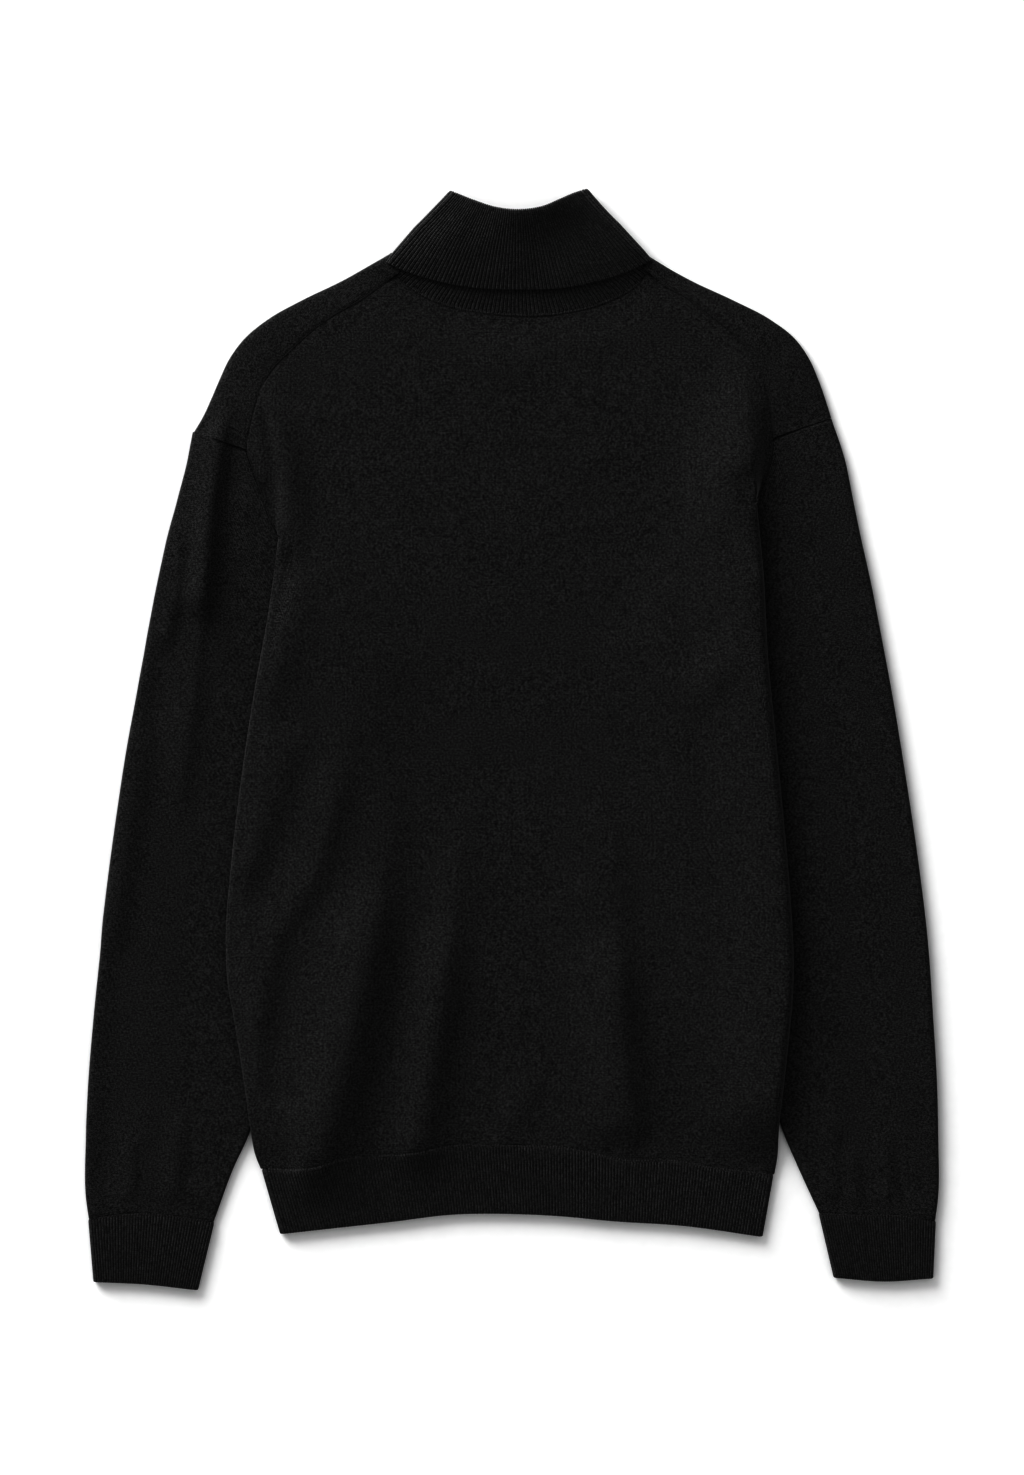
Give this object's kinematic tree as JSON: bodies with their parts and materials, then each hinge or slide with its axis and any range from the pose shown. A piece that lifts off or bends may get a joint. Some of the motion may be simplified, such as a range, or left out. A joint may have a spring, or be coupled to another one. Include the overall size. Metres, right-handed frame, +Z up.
{
  "type": "turtleneck sweater",
  "caption": "Fine-knit turtleneck sweater lying flat with its back up: plain knit body and sleeves, folded rib collar, rib hem and rib cuffs",
  "frame": {"origin": "centre of the footprint, on the surface the sweater lies on", "axes": "+X to the right across the garment as laid, +Y from the hem towards the collar, +Z up from the surface"},
  "size_m": [0.6133, 0.7924, 0.0111],
  "materials": {
    "back_panel": "matte black plain knit",
    "front_panel": "matte black plain knit",
    "sleeve_left": "matte black plain knit",
    "sleeve_right": "matte black plain knit",
    "cuff_left": "matte black rib knit",
    "cuff_right": "matte black rib knit",
    "hem_back": "matte black rib knit",
    "hem_front": "matte black rib knit",
    "collar": "matte black rib knit"
  },
  "bodies": {
    "root": {"back_panel": "back_panel", "front_panel": "front_panel", "sleeve_left": "sleeve_left", "sleeve_right": "sleeve_right", "cuff_left": "cuff_left", "cuff_right": "cuff_right", "hem_back": "hem_back", "hem_front": "hem_front", "collar": "collar"}
  },
  "joints": []
}
